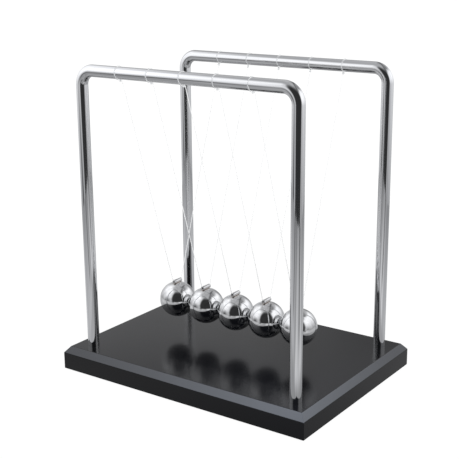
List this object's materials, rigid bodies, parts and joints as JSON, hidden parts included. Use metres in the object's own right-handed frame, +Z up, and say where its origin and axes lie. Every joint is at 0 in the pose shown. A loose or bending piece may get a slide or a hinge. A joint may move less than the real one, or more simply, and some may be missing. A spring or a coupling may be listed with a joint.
{
  "type": "newtons cradle",
  "caption": "Desk cradle: a row of steel balls hung on thread Vs from two bent tube frames on a chamfered block base, swinging along the row.",
  "frame": {"origin": "centre of the flat plane that the four feet rest on", "axes": "+Z up, +X along the row of balls from ball_1 to ball_5, +Y from the front frame to the rear frame"},
  "size_m": [0.17, 0.122, 0.1852],
  "materials": {
    "black_lacquer": "satin black lacquer over fine-grained board",
    "chrome_tube": "bright chrome plate on drawn steel tube",
    "polished_ball": "mirror-polished chromed steel",
    "eyelet_steel": "drawn steel, lightly polished",
    "nylon": "clear monofilament",
    "plated_steel": "zinc plated",
    "foot_rubber": "matt black"
  },
  "bodies": {
    "root": {"base": "black_lacquer", "front_frame": "chrome_tube", "rear_frame": "chrome_tube", "front_loop_1": "nylon", "front_loop_2": "nylon", "front_loop_3": "nylon", "front_loop_4": "nylon", "front_loop_5": "nylon", "rear_loop_1": "nylon", "rear_loop_2": "nylon", "rear_loop_3": "nylon", "rear_loop_4": "nylon", "rear_loop_5": "nylon", "leg_plugs": "plated_steel", "frame_screws": "plated_steel", "frame_washers": "plated_steel", "feet": "foot_rubber"},
    "pendulum_1": {"ball_1": "polished_ball", "eyelet_1": "eyelet_steel", "thread_1": "nylon"},
    "pendulum_2": {"ball_2": "polished_ball", "eyelet_2": "eyelet_steel", "thread_2": "nylon"},
    "pendulum_3": {"ball_3": "polished_ball", "eyelet_3": "eyelet_steel", "thread_3": "nylon"},
    "pendulum_4": {"ball_4": "polished_ball", "eyelet_4": "eyelet_steel", "thread_4": "nylon"},
    "pendulum_5": {"ball_5": "polished_ball", "eyelet_5": "eyelet_steel", "thread_5": "nylon"}
  },
  "joints": [
    {"name": "ball_1_swing", "type": "hinge", "parent": "root", "child": "pendulum_1", "pos_m": [-0.0442, 0, 0.17689], "axis": [0, -1, 0], "range_deg": [-60, 0]},
    {"name": "ball_2_swing", "type": "hinge", "parent": "root", "child": "pendulum_2", "pos_m": [-0.0221, 0, 0.17689], "axis": [0, -1, 0], "range_deg": [0, 60]},
    {"name": "ball_3_swing", "type": "hinge", "parent": "root", "child": "pendulum_3", "pos_m": [0, 0, 0.17689], "axis": [0, -1, 0], "range_deg": [0, 60]},
    {"name": "ball_4_swing", "type": "hinge", "parent": "root", "child": "pendulum_4", "pos_m": [0.0221, 0, 0.17689], "axis": [0, -1, 0], "range_deg": [0, 60]},
    {"name": "ball_5_swing", "type": "hinge", "parent": "root", "child": "pendulum_5", "pos_m": [0.0442, 0, 0.17689], "axis": [0, -1, 0], "range_deg": [0, 60]}
  ],
  "couplings": [
    {"joint": "ball_2_swing", "follows": "ball_5_swing", "ratio": 1},
    {"joint": "ball_3_swing", "follows": "ball_5_swing", "ratio": 1},
    {"joint": "ball_4_swing", "follows": "ball_5_swing", "ratio": 1}
  ]
}
